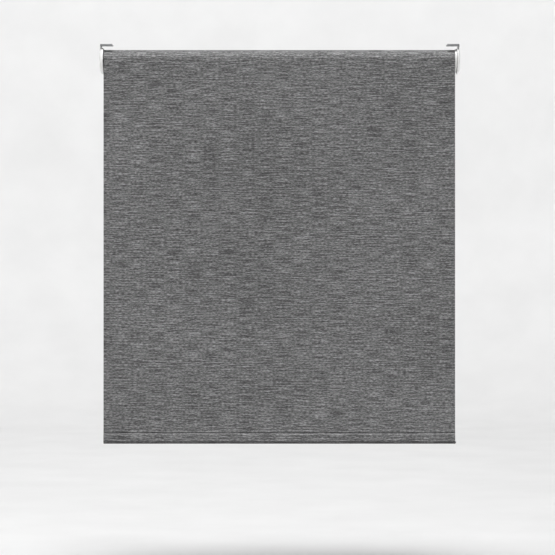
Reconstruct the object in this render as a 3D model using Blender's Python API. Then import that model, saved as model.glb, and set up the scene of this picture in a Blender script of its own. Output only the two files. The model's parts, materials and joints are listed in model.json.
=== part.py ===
"""Roller blind with a battery motor in its tube, made to fit a 900 mm wide window recess.

The origin is the middle of the recess head, where the tops of both brackets touch it. +X runs along
the roll towards the motor end, -Y points into the room and +Z points up. Sizes are in millimetres,
and MM turns them into metres where an object is made.
"""

import math

import bmesh
import bpy
from mathutils import Matrix, Vector

MM = 0.001
GAP = 0.3  # between neighbouring pieces
FULL_TURN = 2 * math.pi
QUARTER_TURN = math.pi / 2

# Driving sizes of the blind
OVERALL_WIDTH = 895.0
OVERALL_DROP = 992.5
AXIS_DROP = 40.2  # from the recess head down to the axis of the roll
ROLL_RADIUS = 27.0
CLOTH_THICKNESS = 0.6
LEFT_SIDE_GAP = 10.5  # from the end of the blind to the edge of the cloth
RIGHT_SIDE_GAP = 12.8

HALF_WIDTH = OVERALL_WIDTH / 2
CLOTH_LEFT = LEFT_SIDE_GAP - HALF_WIDTH
CLOTH_RIGHT = HALF_WIDTH - RIGHT_SIDE_GAP

# Brackets of pressed steel, and their covers
STEEL = 1.8
FLANGE_LENGTH = 29.9
FLANGE_WIDTH = 40.0
FLANGE_LIP = 4.6
PLATE_WIDTH = 28.0
NECK_HALF_WIDTH = 10.5  # of the end plate, between its shoulders and its round end
BEND_RADIUS = 2.3
SHOULDER_TOP = 5.0  # the plate narrows from here
SHOULDER_FOOT = 9.5
SLOT_WIDTH = 4.0
SLOT_LENGTH = 8.0
SLOT_SPREAD = 22.0
COVER_WALL = 1.0
COVER_RADIUS = 33.0
COVER_FLAT_RADIUS = 24.0
LEFT_COVER_DEPTH = 8.7
RIGHT_COVER_DEPTH = 6.6
PLATE_OUTSIDE = HALF_WIDTH - COVER_WALL - GAP
PLATE_INSIDE = PLATE_OUTSIDE - STEEL

# Tube, with a groove that holds the cloth and the rib that the groove makes inside
TUBE_RADIUS = 25.0
TUBE_WALL = 1.5
TUBE_LEFT = CLOTH_LEFT + 0.6
TUBE_RIGHT = CLOTH_RIGHT - 0.6
GROOVE_HALF_WIDTH = 2.1
GROOVE_FLOOR = 22.6
RIB_HALF_WIDTH = 3.6
RIB_CREST = 20.9
KEYED_RADIUS = TUBE_RADIUS - TUBE_WALL - 0.4
KEY_HALF_WIDTH = RIB_HALF_WIDTH + 0.4
KEY_FLOOR = RIB_CREST - 0.4

# Idle end: plug, spring pin and bush
PIN_RADIUS = 4.0
PIN_TRAVEL = 7.4
PIN_COLLAR_RADIUS = 7.2
PIN_COLLAR_LENGTH = 3.6
PIN_TAIL_RADIUS = 3.4
PIN_TIP = -(PLATE_OUTSIDE - GAP)
PLUG_FLANGE_FACE = CLOTH_LEFT - 1.2
PLUG_FLANGE_THICKNESS = 1.5
PLUG_FLANGE_RADIUS = 24.6
PLUG_END_WALL = 4.2
PLUG_LENGTH = 39.0
SPRING_WIRE_RADIUS = 0.5
SPRING_COIL_RADIUS = 5.6
SPRING_TURNS = 5

# Motor head: the white disc beside the cloth, with its lid
HEAD_FACE = CLOTH_RIGHT + 0.8
HEAD_WIDTH = 5.0
HEAD_RADIUS = 28.5
HEAD_LID = 1.0
HEAD_FLOOR = 0.6
HEAD_RIM = 1.9
HEAD_OUTSIDE = HEAD_FACE + HEAD_WIDTH
HEAD_LID_FACE = HEAD_OUTSIDE - HEAD_LID
HEAD_MIDDLE = HEAD_FACE + HEAD_FLOOR + 1.7
SPIGOT_HALF = 6.0
HEAD_POCKET_HALF_ANGLE = math.radians(52)
CONTROL_SPREAD = math.radians(32)  # from the charge socket to the button and to the lamp
BUTTON_RADIUS = 1.5
BUTTON_PROUD = 0.9
LENS_RADIUS = 1.1
SCREW_RADIUS = 1.0
SCREW_HOLE_RADIUS = SCREW_RADIUS + 0.35
WIRE_HOLE_RADIUS = 1.2
DOWN = -QUARTER_TURN

# Motor housing and what it holds, from the gearbox end towards the head
HOUSING_RADIUS = 19.0
HOUSING_WALL = 1.2
HOUSING_LEFT = 30.0
HOUSING_RIGHT = HEAD_FACE - GAP
INSIDE_RADIUS = HOUSING_RADIUS - HOUSING_WALL - 0.4
RING_LEFT = HOUSING_LEFT + 8.7
RING_LENGTH = 23.0
RING_RIGHT = RING_LEFT + RING_LENGTH
END_PLATE = 3.6
CAN_LENGTH = 41.4
FRONT_PLATE_LEFT = RING_RIGHT + GAP
CAN_LEFT = FRONT_PLATE_LEFT + END_PLATE + GAP
CAN_RIGHT = CAN_LEFT + CAN_LENGTH
REAR_PLATE_LEFT = CAN_RIGHT + GAP
BRAKE_LEFT = REAR_PLATE_LEFT + END_PLATE + GAP
BRAKE_LENGTH = 16.0
TRAY_LEFT = 140.0
TRAY_RIGHT = HOUSING_RIGHT - 22.6
CELL_LENGTH = 65.0
CELL_RADIUS = 9.1
CELL_COUNT = 3
SHAFT_RADIUS = 2.5
BEARING_RADIUS = 5.0
SEAT_RADIUS = BEARING_RADIUS + GAP

# Planetary gearbox: two stages in one ring, teeth of involute form
MODULE = 0.7
PRESSURE_ANGLE = math.radians(20)
SUN_TEETH = 12
PLANET_TEETH = 15
RING_TEETH = SUN_TEETH + 2 * PLANET_TEETH
PLANETS_PER_STAGE = 3
ADDENDUM = 0.85
RING_ADDENDUM = 0.7
DEDENDUM = 1.1
FLANK_THINNING = 0.05  # taken off each side of a tooth, which leaves the backlash
PLANET_ORBIT = MODULE * (SUN_TEETH + PLANET_TEETH) / 2
PLANET_PIN_RADIUS = 1.5
PLANET_BORE_RADIUS = PLANET_PIN_RADIUS + GAP
CARRIER_RADIUS = 12.5
CARRIER_PLATE = 2.4
PLANET_WIDTH = 7.0
OUTPUT_CARRIER_LEFT = RING_LEFT + 0.3
SECOND_PLANET_LEFT = OUTPUT_CARRIER_LEFT + CARRIER_PLATE + 0.5
FIRST_CARRIER_LEFT = SECOND_PLANET_LEFT + PLANET_WIDTH + 1.2
FIRST_PLANET_LEFT = FIRST_CARRIER_LEFT + CARRIER_PLATE + 0.5
PINION_RADIUS = 1.6

# Drive wheel on the hexagonal end of the output shaft
OUTPUT_RADIUS = 5.0
HEX_FLATS = 8.0
WHEEL_LEFT = -1.0
WHEEL_WIDTH = 22.0
CLIP_THICKNESS = 0.8
CLIP_GROOVE_RADIUS = 3.0
SHAFT_END = -4.5

# Bottom rail: an extrusion in the hem, which hangs in line with the cloth
RAIL_HEIGHT = 25.8
RAIL_RADIUS = 4.2
RAIL_TOP_HALF = 2.2
RAIL_CAP = 1.8
RAIL_BORE_RADIUS = 2.1
RAIL_PLUG_LENGTH = 6.0
RAIL_FOOT_HEIGHT = 5.8  # of the part of the right cap that stands out beyond the cloth
RAIL_FOOT_PROUD = 1.8
CLOTH_BACK = -(ROLL_RADIUS + GAP)
CLOTH_MIDDLE = CLOTH_BACK - CLOTH_THICKNESS / 2
RAIL_BOTTOM = -OVERALL_DROP
RAIL_TOP = RAIL_BOTTOM + RAIL_HEIGHT
BAR_LEFT = CLOTH_LEFT + RAIL_CAP + GAP + 0.2  # each cap ends just inside the cloth
BAR_RIGHT = CLOTH_RIGHT - RAIL_CAP - GAP - 0.2

# Roundness: how many straight sides a circle gets, from the largest circles to the pins
FINE = 40
MEDIUM = 24
COARSE = 16
PIN_SIDES = 10


def clear_scene():
    for item in list(bpy.data.objects):
        bpy.data.objects.remove(item, do_unlink=True)


def make_material(name, colour, roughness, metallic=0.0):
    material = bpy.data.materials.new(name)
    material.use_nodes = True
    shader = material.node_tree.nodes["Principled BSDF"]
    shader.inputs["Base Color"].default_value = (*colour, 1.0)
    shader.inputs["Roughness"].default_value = roughness
    shader.inputs["Metallic"].default_value = metallic
    return material


def make_materials():
    return {
        "cloth": make_material("dark_grey_cloth", (0.15, 0.15, 0.152), 0.9),
        "white": make_material("white_gloss_plastic", (0.86, 0.86, 0.86), 0.25),
        "steel": make_material("zinc_plated_steel", (0.62, 0.63, 0.64), 0.35, 1.0),
        "aluminium": make_material("aluminium", (0.7, 0.71, 0.72), 0.4, 1.0),
        "nylon": make_material("natural_nylon", (0.72, 0.71, 0.67), 0.5),
        "black": make_material("black_plastic", (0.03, 0.03, 0.032), 0.5),
        "grey": make_material("grey_plastic", (0.1, 0.1, 0.105), 0.5),
        "cell": make_material("cell_sleeve", (0.05, 0.2, 0.32), 0.4),
        "board": make_material("circuit_board", (0.02, 0.16, 0.07), 0.45),
        "copper": make_material("copper_winding", (0.6, 0.26, 0.12), 0.4, 1.0),
        "magnet": make_material("nickel_magnet", (0.45, 0.45, 0.46), 0.3, 1.0),
        "lens": make_material("lamp_lens", (0.75, 0.85, 0.8), 0.1),
        "brass": make_material("brass", (0.72, 0.53, 0.24), 0.35, 1.0),
    }


# Outlines, as lists of points in a plane


def circle(radius, count, centre=(0.0, 0.0)):
    return arc(radius, 0.0, FULL_TURN * (count - 1) / count, count - 1, centre)


def arc(radius, start, end, steps, centre=(0.0, 0.0)):
    angles = [start + (end - start) * i / steps for i in range(steps + 1)]
    return [(centre[0] + radius * math.cos(a), centre[1] + radius * math.sin(a)) for a in angles]


def rectangle(low_u, low_v, high_u, high_v):
    return [(low_u, low_v), (high_u, low_v), (high_u, high_v), (low_u, high_v)]


def rounded_slot(half_length, radius, centre=(0.0, 0.0), steps=4):
    """A slot with round ends; half_length runs from its middle to the centre of an end."""
    right = arc(radius, -QUARTER_TURN, QUARTER_TURN, steps, (centre[0] + half_length, centre[1]))
    left = arc(radius, QUARTER_TURN, 3 * QUARTER_TURN, steps, (centre[0] - half_length, centre[1]))
    return right + left


def hexagon(across_flats):
    return circle(across_flats / math.sqrt(3), 6)


def sector(inner, outer, middle, half_angle, steps=10):
    far = arc(outer, middle - half_angle, middle + half_angle, steps)
    near = arc(inner, middle + half_angle, middle - half_angle, steps)
    return far + near


def keyed_circle(radius, half_width, floor, count):
    """A circle with a square-cornered notch at its top."""
    edge = math.acos(half_width / radius)
    sides = arc(radius, math.pi - edge, FULL_TURN + edge, count)
    return sides + [(half_width, floor), (-half_width, floor)]


def poles(count, gap_half_angle, rim, depth, steps=4):
    """A circle of radius rim cut by radial slots that reach the radius depth."""
    pitch = FULL_TURN / count
    points = []
    for i in range(count):
        start = i * pitch + gap_half_angle
        end = (i + 1) * pitch - gap_half_angle
        points += arc(rim, start, end, steps)
        points += arc(depth, end, end + 2 * gap_half_angle, 2)
    return points


def involute(angle):
    return math.tan(angle) - angle


def tooth_half_angle(teeth, radius, thinning):
    pitch = teeth * MODULE / 2
    base = pitch * math.cos(PRESSURE_ANGLE)
    pressure = math.acos(min(1.0, base / radius))
    flank = involute(PRESSURE_ANGLE) - involute(pressure)
    return math.pi / (2 * teeth) - thinning / pitch + flank


def tooth_outline(teeth, radii, thinning):
    """One closed line round all teeth, with each flank straight between the given radii."""
    base = teeth * MODULE / 2 * math.cos(PRESSURE_ANGLE)
    flank = [(r, tooth_half_angle(teeth, max(r, base), thinning)) for r in radii]
    points = []
    for i in range(teeth):
        middle = FULL_TURN * i / teeth
        for r, half in flank:
            points.append((r * math.cos(middle - half), r * math.sin(middle - half)))
        for r, half in reversed(flank):
            points.append((r * math.cos(middle + half), r * math.sin(middle + half)))
    return points


def gear_outline(teeth):
    pitch = teeth * MODULE / 2
    radii = (pitch - DEDENDUM * MODULE, pitch + ADDENDUM * MODULE)
    return tooth_outline(teeth, radii, FLANK_THINNING)


def ring_outline():
    """The inside of the ring gear: its spaces have the form of a gear's teeth."""
    pitch = RING_TEETH * MODULE / 2
    radii = (pitch - RING_ADDENDUM * MODULE, pitch + DEDENDUM * MODULE)
    return tooth_outline(RING_TEETH, radii, -FLANK_THINNING)


def rail_outline(inset):
    """The section of the bottom rail in Y and Z: round below, slim above."""
    centre = (CLOTH_MIDDLE, RAIL_BOTTOM + RAIL_RADIUS)
    top = RAIL_TOP - inset
    half = RAIL_TOP_HALF - inset
    bottom = arc(RAIL_RADIUS - inset, math.pi, FULL_TURN, 12, centre)
    crown = arc(half, 0.0, math.pi, 6, (CLOTH_MIDDLE, top - half))
    return bottom + crown


# Solids


def on_axis(axis, along, u, v):
    """The point at (u, v) across an axis and the given distance along it."""
    return {"X": Vector((along, u, v)), "Y": Vector((u, along, v)), "Z": Vector((u, v, along))}[axis]


def prism(loops, start, end, axis="X"):
    """Flat outlines, any inner ones being holes, carried along an axis."""
    shape = bmesh.new()
    edges = []
    for loop in loops:
        verts = [shape.verts.new(on_axis(axis, start, u, v)) for u, v in loop]
        edges += [shape.edges.new(pair) for pair in zip(verts, verts[1:] + verts[:1])]
    bmesh.ops.triangle_fill(shape, use_beauty=True, edges=edges)
    grown = bmesh.ops.extrude_face_region(shape, geom=shape.faces[:])
    moved = [item for item in grown["geom"] if isinstance(item, bmesh.types.BMVert)]
    bmesh.ops.translate(shape, verts=moved, vec=on_axis(axis, end - start, 0.0, 0.0))
    return finished(shape)


def turned(profile, segments=MEDIUM):
    """A closed profile of (x, radius) points, turned about the X axis."""
    shape = bmesh.new()
    verts = [shape.verts.new((x, 0.0, radius)) for x, radius in profile]
    edges = []
    for a, b in zip(verts, verts[1:] + verts[:1]):
        if a.co.z > 0 or b.co.z > 0:
            edges.append(shape.edges.new((a, b)))
    bmesh.ops.spin(
        shape, geom=edges, cent=(0, 0, 0), axis=(1, 0, 0), angle=FULL_TURN, steps=segments, use_merge=True
    )
    bmesh.ops.remove_doubles(shape, verts=shape.verts[:], dist=1e-4)
    return finished(shape)


def rod(start, end, radius, segments=COARSE, axis="X", centre=(0.0, 0.0)):
    return prism([circle(radius, segments, centre)], start, end, axis)


def tube(start, end, outer, inner, segments=MEDIUM):
    return turned([(start, outer), (end, outer), (end, inner), (start, inner)], segments)


def finished(shape):
    bmesh.ops.recalc_face_normals(shape, faces=shape.faces[:])
    return shape


def joined(shapes):
    """Several shapes that don't touch, as one mesh to cut with or to join to a piece."""
    whole = bmesh.new()
    for shape in shapes:
        part = bpy.data.meshes.new("part")
        shape.to_mesh(part)
        whole.from_mesh(part)
        bpy.data.meshes.remove(part)
    return whole


def radial(shape, angle):
    """Turns a shape made round the Y axis so that it points from the X axis at an angle."""
    bmesh.ops.rotate(shape, verts=shape.verts[:], cent=(0, 0, 0), matrix=Matrix.Rotation(angle, 3, "X"))
    return shape


def shifted(shape, x=0.0, y=0.0, z=0.0):
    bmesh.ops.translate(shape, verts=shape.verts[:], vec=(x, y, z))
    return shape


# Objects


def add_axis(name, place, parent=None):
    """An empty that carries the pieces which move together."""
    empty = bpy.data.objects.new(name, None)
    bpy.context.scene.collection.objects.link(empty)
    empty["place"] = place
    start = parent["place"] if parent else (0.0, 0.0, 0.0)
    empty.parent = parent
    empty.location = [MM * (a - b) for a, b in zip(place, start)]
    return empty


def link_mesh(name, shape, parent, place, turn=0.0):
    mesh = bpy.data.meshes.new(name)
    shape.to_mesh(mesh)
    shape.free()
    mesh.transform(Matrix.Scale(MM, 4))
    item = bpy.data.objects.new(name, mesh)
    bpy.context.scene.collection.objects.link(item)
    item.parent = parent
    item.location = [MM * (a - b) for a, b in zip(place, parent["place"])]
    item.rotation_euler.x = turn
    return item


def add_piece(name, shape, material, parent, place, turn=0.0):
    item = link_mesh(name, shape, parent, place, turn)
    item.data.materials.append(material)
    item.data.shade_smooth()
    item.data.set_sharp_from_angle(angle=math.radians(32))
    return item


def shape_with(item, operation, shape):
    """Cuts a piece by another shape, or joins one to it. The shape is in the piece's own frame."""
    helper = link_mesh(item.name + "_" + operation.lower(), shape, item.parent, (0, 0, 0))
    helper.location = item.location
    helper.rotation_euler = item.rotation_euler
    helper.hide_render = True
    helper.display_type = "WIRE"
    modifier = item.modifiers.new(operation.title(), "BOOLEAN")
    modifier.operation = operation
    modifier.solver = "EXACT"
    modifier.object = helper


# Brackets and covers. side is -1 at the idle end and 1 at the motor end.


def bracket_section(side):
    bend = (PLATE_OUTSIDE - BEND_RADIUS, -BEND_RADIUS)
    outer = arc(BEND_RADIUS, QUARTER_TURN, 0.0, 5, bend)
    inner = arc(BEND_RADIUS - STEEL, 0.0, QUARTER_TURN, 3, bend)
    foot = -(AXIS_DROP + PLATE_WIDTH)
    tip = PLATE_OUTSIDE - FLANGE_LENGTH
    points = [(tip, 0.0)] + outer + [(PLATE_OUTSIDE, foot), (PLATE_INSIDE, foot)]
    points += inner + [(tip, -STEEL)]
    return [(side * x, z) for x, z in points]


def plate_waste():
    """What is cut from the end plate to leave a neck with a larger round end."""
    neck = NECK_HALF_WIDTH
    wide = FLANGE_WIDTH / 2
    far = wide + 4.0
    meeting = math.acos(neck / (PLATE_WIDTH / 2))
    strap = [(far, -SHOULDER_TOP), (wide, -SHOULDER_TOP), (neck, -SHOULDER_FOOT)]
    strap += arc(PLATE_WIDTH / 2, meeting, -math.pi - meeting, 20, (0.0, -AXIS_DROP))
    strap += [(-neck, -SHOULDER_FOOT), (-wide, -SHOULDER_TOP), (-far, -SHOULDER_TOP)]
    below = -(AXIS_DROP + PLATE_WIDTH + 4.0)
    return strap + [(-far, below), (far, below)]


def flange_lip(side):
    """The turned-down front edge, which stiffens the flange."""
    inner = -FLANGE_WIDTH / 2 + 0.2
    outer = -FLANGE_WIDTH / 2 - STEEL + 0.2
    outline = arc(STEEL, QUARTER_TURN, math.pi, 4, (outer + STEEL, -STEEL))
    outline += [(outer, -FLANGE_LIP), (inner, -FLANGE_LIP), (inner, -0.1)]
    ends = sorted((side * (PLATE_OUTSIDE - FLANGE_LENGTH + 0.3), side * (PLATE_OUTSIDE - 0.3)))
    return prism([outline], *ends)


def add_bracket(name, side, hub_hole, material, frame):
    half = FLANGE_WIDTH / 2
    item = add_piece(name, prism([bracket_section(side)], -half, half, "Y"), material, frame, (0, 0, 0))
    near, far = sorted((side * (PLATE_INSIDE - 1), side * (PLATE_OUTSIDE + 1)))
    cutters = [prism([plate_waste()], near, far)]
    cutters.append(rod(near, far, hub_hole, FINE // 2, centre=(0.0, -AXIS_DROP)))
    for y in (-7.0, 7.0):
        cutters.append(rod(near, far, SLOT_WIDTH / 2, centre=(y, -AXIS_DROP + 19.0)))
    slot_middle = side * (PLATE_OUTSIDE - FLANGE_LENGTH / 2)
    for y in (-SLOT_SPREAD / 2, SLOT_SPREAD / 2):
        outline = rounded_slot((SLOT_LENGTH - SLOT_WIDTH) / 2, SLOT_WIDTH / 2, (slot_middle, y))
        cutters.append(prism([outline], -2 * STEEL, STEEL, "Z"))
    shape_with(item, "DIFFERENCE", joined(cutters))
    shape_with(item, "UNION", flange_lip(side))


def ellipse_quarter(centre, across, along, steps):
    """From the face of a cover round its corner to the rim, as (x, radius) points."""
    angles = [QUARTER_TURN * i / steps for i in range(steps + 1)]
    return [(centre[0] + along * math.cos(a), centre[1] + across * math.sin(a)) for a in angles]


def cover_profile(side, depth):
    rim = HALF_WIDTH - depth
    corner = HALF_WIDTH - min(depth - 1.0, 6.4)
    middle = (corner, COVER_FLAT_RADIUS)
    reach = COVER_RADIUS - COVER_FLAT_RADIUS
    inner_face = HALF_WIDTH - COVER_WALL
    outside = ellipse_quarter(middle, reach, HALF_WIDTH - corner, 4)
    inside = ellipse_quarter(middle, reach - COVER_WALL, inner_face - corner, 2)
    points = [(HALF_WIDTH, 0.0)] + outside + [(rim, COVER_RADIUS)]
    points += [(rim, COVER_RADIUS - COVER_WALL)] + inside[::-1] + [(inner_face, 0.0)]
    return [(side * x, radius) for x, radius in points]


def add_cover(name, side, depth, material, frame):
    """A domed cap pushed over the end plate from outside, with a notch for the plate's neck."""
    at = (0, 0, -AXIS_DROP)
    item = add_piece(name, turned(cover_profile(side, depth), FINE), material, frame, at)
    half = NECK_HALF_WIDTH + GAP
    notch = [rectangle(-half, COVER_FLAT_RADIUS / 2, half, COVER_RADIUS + 2)]
    near, far = sorted((side * (HALF_WIDTH - depth - 1), side * (HALF_WIDTH - COVER_WALL)))
    shape_with(item, "DIFFERENCE", prism(notch, near, far))


def add_pin_bush(material, frame):
    """The nylon bearing in the idle bracket: a flange inside the plate and a boss in its hole."""
    bore = PIN_RADIUS + GAP
    profile = [
        (-(PLATE_OUTSIDE - GAP), bore),
        (-(PLATE_OUTSIDE - GAP), 6.0),
        (-(PLATE_INSIDE - GAP), 6.0),
        (-(PLATE_INSIDE - GAP), 11.0),
        (-(PLATE_INSIDE - GAP - 1.6), 11.0),
        (-(PLATE_INSIDE - GAP - 2.0), 10.6),
        (-(PLATE_INSIDE - GAP - 2.0), bore),
    ]
    add_piece("pin_bush", turned(profile), material, frame, (0, 0, -AXIS_DROP))


def add_head_socket(material, frame):
    """The seat in the motor bracket, whose square hole keeps the motor head from turning."""
    inside = PLATE_INSIDE - GAP
    profile = [(inside - 2.4, 0), (inside - 2.4, 13.0), (inside, 13.0), (inside, 10.5)]
    profile += [(PLATE_OUTSIDE - GAP, 10.5), (PLATE_OUTSIDE - GAP, 0)]
    item = add_piece("head_socket", turned(profile), material, frame, (0, 0, -AXIS_DROP))
    half = SPIGOT_HALF + GAP
    hole = prism([rectangle(-half, -half, half, half)], inside - 4, PLATE_OUTSIDE + 1)
    shape_with(item, "DIFFERENCE", hole)


# Roll: tube, cloth, plug, crown and drive wheel


def add_tube(materials, roller):
    outer = keyed_circle(TUBE_RADIUS, GROOVE_HALF_WIDTH, GROOVE_FLOOR, FINE)
    inner = keyed_circle(TUBE_RADIUS - TUBE_WALL, RIB_HALF_WIDTH, RIB_CREST, FINE)
    shape = prism([outer, inner], TUBE_LEFT, TUBE_RIGHT)
    add_piece("roller_tube", shape, materials["aluminium"], roller, (0, 0, -AXIS_DROP))
    half = GROOVE_HALF_WIDTH - 0.4
    spline = [rectangle(-half, GROOVE_FLOOR + 0.4, half, TUBE_RADIUS - 0.5)]
    shape = prism(spline, TUBE_LEFT + 3, TUBE_RIGHT - 3)
    add_piece("fabric_spline", shape, materials["grey"], roller, (0, 0, -AXIS_DROP))
    wound = tube(CLOTH_LEFT, CLOTH_RIGHT, ROLL_RADIUS, TUBE_RADIUS + GAP, FINE)
    add_piece("fabric_roll", wound, materials["cloth"], roller, (0, 0, -AXIS_DROP))


def lightening_holes(count=4, radius=4.2, orbit=15.3):
    """Round holes between the hub and the rim, with the key clear between two of them."""
    pitch = FULL_TURN / count
    angles = [QUARTER_TURN + pitch * (i + 0.5) for i in range(count)]
    centres = [(orbit * math.cos(a), orbit * math.sin(a)) for a in angles]
    return [circle(radius, PIN_SIDES, centre) for centre in centres]


def keyed_rim():
    return keyed_circle(KEYED_RADIUS, KEY_HALF_WIDTH, KEY_FLOOR, MEDIUM)


def add_idle_end(materials, roller, pin_slide):
    at = (0, 0, -AXIS_DROP)
    face = PLUG_FLANGE_FACE
    inner_end = face + PLUG_LENGTH
    body = prism([keyed_rim()] + lightening_holes(), face + PLUG_FLANGE_THICKNESS / 2, inner_end)
    plug = add_piece("idle_plug", body, materials["grey"], roller, at)
    disc = [(face, 0), (face, PLUG_FLANGE_RADIUS - 0.5), (face + 0.5, PLUG_FLANGE_RADIUS)]
    disc += [(face + PLUG_FLANGE_THICKNESS, PLUG_FLANGE_RADIUS), (face + PLUG_FLANGE_THICKNESS, 0)]
    shape_with(plug, "UNION", turned(disc))
    wall = face + PLUG_END_WALL
    cavity_radius = PIN_COLLAR_RADIUS + 0.6
    bore = [(face - 2, 0), (face - 2, PIN_RADIUS + 0.4), (wall, PIN_RADIUS + 0.4)]
    bore += [(wall, cavity_radius), (inner_end + 2, cavity_radius), (inner_end + 2, 0)]
    shape_with(plug, "DIFFERENCE", turned(bore, COARSE))

    collar = wall + 0.4
    collar_end = collar + PIN_COLLAR_LENGTH
    tail_end = inner_end + 2.0
    pin = [(PIN_TIP, 0), (PIN_TIP, PIN_RADIUS - 1.2), (PIN_TIP + 1.5, PIN_RADIUS)]
    pin += [(collar, PIN_RADIUS), (collar, PIN_COLLAR_RADIUS), (collar_end, PIN_COLLAR_RADIUS)]
    pin += [(collar_end, PIN_TAIL_RADIUS), (tail_end, PIN_TAIL_RADIUS), (tail_end, 0)]
    add_piece("idle_pin", turned(pin, COARSE), materials["steel"], pin_slide, at)

    boss_start = inner_end - 3.6
    hole = PIN_TAIL_RADIUS + 0.4
    cap = [(boss_start, hole), (boss_start, cavity_radius - 0.4), (inner_end + GAP, cavity_radius - 0.4)]
    cap += [(inner_end + GAP, 11.0), (inner_end + 3, 11.0), (inner_end + 3, hole)]
    add_piece("idle_plug_cap", turned(cap, COARSE), materials["grey"], roller, at)
    add_spring(collar_end + GAP, boss_start - GAP, materials["steel"], roller)


def add_spring(start, end, material, roller):
    """A coil between the pin's collar and the cap, as a bevelled curve with closed ends."""
    count = SPRING_TURNS * 9
    first = start + SPRING_WIRE_RADIUS
    length = end - start - 2 * SPRING_WIRE_RADIUS
    curve = bpy.data.curves.new("idle_spring", "CURVE")
    curve.dimensions = "3D"
    curve.bevel_depth = SPRING_WIRE_RADIUS * MM
    curve.bevel_resolution = 1
    curve.use_fill_caps = True
    wire = curve.splines.new("POLY")
    wire.points.add(count)
    for i, point in enumerate(wire.points):
        turn = FULL_TURN * SPRING_TURNS * i / count
        along = first + length * i / count
        coil = Vector((along, SPRING_COIL_RADIUS * math.cos(turn), SPRING_COIL_RADIUS * math.sin(turn)))
        point.co = (*(coil * MM), 1.0)
    item = bpy.data.objects.new("idle_spring", curve)
    bpy.context.scene.collection.objects.link(item)
    item.parent = roller
    curve.materials.append(material)


def add_crown(material, roller):
    """The ring that carries the motor end of the tube and runs on the motor housing."""
    bearing = circle(HOUSING_RADIUS + 0.4, MEDIUM)
    shape = prism([keyed_rim(), bearing], TUBE_RIGHT - 21.0, TUBE_RIGHT - 0.5)
    add_piece("crown_ring", shape, material, roller, (0, 0, -AXIS_DROP))


def add_drive_wheel(materials, roller):
    at = (0, 0, -AXIS_DROP)
    loops = [keyed_rim(), hexagon(HEX_FLATS + 2 * GAP)] + lightening_holes()
    shape = prism(loops, WHEEL_LEFT, WHEEL_LEFT + WHEEL_WIDTH)
    add_piece("drive_wheel", shape, materials["nylon"], roller, at)
    ring = arc(6.5, math.radians(20), math.radians(340), 20)
    ring += arc(CLIP_GROOVE_RADIUS + 0.4, math.radians(335), math.radians(25), 16)
    start = WHEEL_LEFT - 0.9 - CLIP_THICKNESS
    clip = prism([ring], start, start + CLIP_THICKNESS)
    add_piece("drive_clip", clip, materials["steel"], roller, at)


# Motor head


def rim_hole(radius, angle):
    hole = rod(HEAD_RADIUS - HEAD_RIM - 2, HEAD_RADIUS + 2, radius, PIN_SIDES, "Y")
    return shifted(radial(hole, angle), x=HEAD_MIDDLE)


def add_motor_head(materials, frame):
    at = (0, 0, -AXIS_DROP)
    boss = INSIDE_RADIUS
    face, top = HEAD_FACE, HEAD_LID_FACE - GAP
    boss_end = face - 17.9
    profile = [(top, 0), (top, HEAD_RADIUS), (face + 0.8, HEAD_RADIUS), (face, HEAD_RADIUS - 0.8)]
    profile += [(face, boss), (boss_end, boss), (boss_end, boss - 2), (face - 1.5, boss - 2)]
    profile += [(face - 1.5, 0)]
    head = add_piece("motor_head", turned(profile, FINE), materials["white"], frame, at)
    floor = face + HEAD_FLOOR
    pocket = [sector(12.8, HEAD_RADIUS - HEAD_RIM, DOWN, HEAD_POCKET_HALF_ANGLE)]
    shape_with(head, "DIFFERENCE", prism(pocket, floor, top + 1))
    mouth = prism([rectangle(-4.8, -HEAD_RADIUS - 2, 4.8, -HEAD_RADIUS + HEAD_RIM + 1)], floor, top + 1)
    holes = [mouth, rim_hole(BUTTON_RADIUS + GAP, DOWN + CONTROL_SPREAD)]
    holes.append(rim_hole(LENS_RADIUS + GAP, DOWN - CONTROL_SPREAD))
    holes.append(rod(face - 3, floor + 0.6, WIRE_HOLE_RADIUS, PIN_SIDES, centre=(0.0, -14.4)))
    for place in screw_places():
        holes.append(rod(floor, top + 1, SCREW_HOLE_RADIUS, PIN_SIDES, centre=place))
    shape_with(head, "DIFFERENCE", joined(holes))
    square = rectangle(-SPIGOT_HALF, -SPIGOT_HALF, SPIGOT_HALF, SPIGOT_HALF)
    shape_with(head, "UNION", prism([square], top - 1, PLATE_OUTSIDE - 1.3))

    hole = SPIGOT_HALF + GAP
    loops = [circle(HEAD_RADIUS - GAP, FINE), rectangle(-hole, -hole, hole, hole)]
    loops += [circle(SCREW_HOLE_RADIUS, PIN_SIDES, place) for place in screw_places()]
    lid = prism(loops, HEAD_LID_FACE, HEAD_OUTSIDE)
    add_piece("head_cover", lid, materials["white"], frame, at)
    for number, (y, z) in enumerate(screw_places(), 1):
        name = f"head_cover_screw_{number}"
        outside = HEAD_OUTSIDE + GAP
        screw = [(floor + 0.4, 0), (floor + 0.4, SCREW_RADIUS), (outside, SCREW_RADIUS), (outside, 2.0)]
        screw += [(outside + 0.7, 2.0), (outside + 1.1, 1.3), (outside + 1.1, 0)]
        add_piece(name, turned(screw, PIN_SIDES), materials["steel"], frame, (0, y, z - AXIS_DROP))


def screw_places(orbit=21.0, spread=math.radians(35)):
    angles = (QUARTER_TURN - spread, QUARTER_TURN + spread)
    return [(orbit * math.cos(a), orbit * math.sin(a)) for a in angles]


def across_head(shape):
    """Turns a shape made along Y so that it lies front to back in the middle of the head."""
    quarter = Matrix.Rotation(QUARTER_TURN, 3, "Z")
    bmesh.ops.rotate(shape, verts=shape.verts[:], cent=(0, 0, 0), matrix=quarter)
    return shifted(shape, x=HEAD_MIDDLE)


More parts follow.
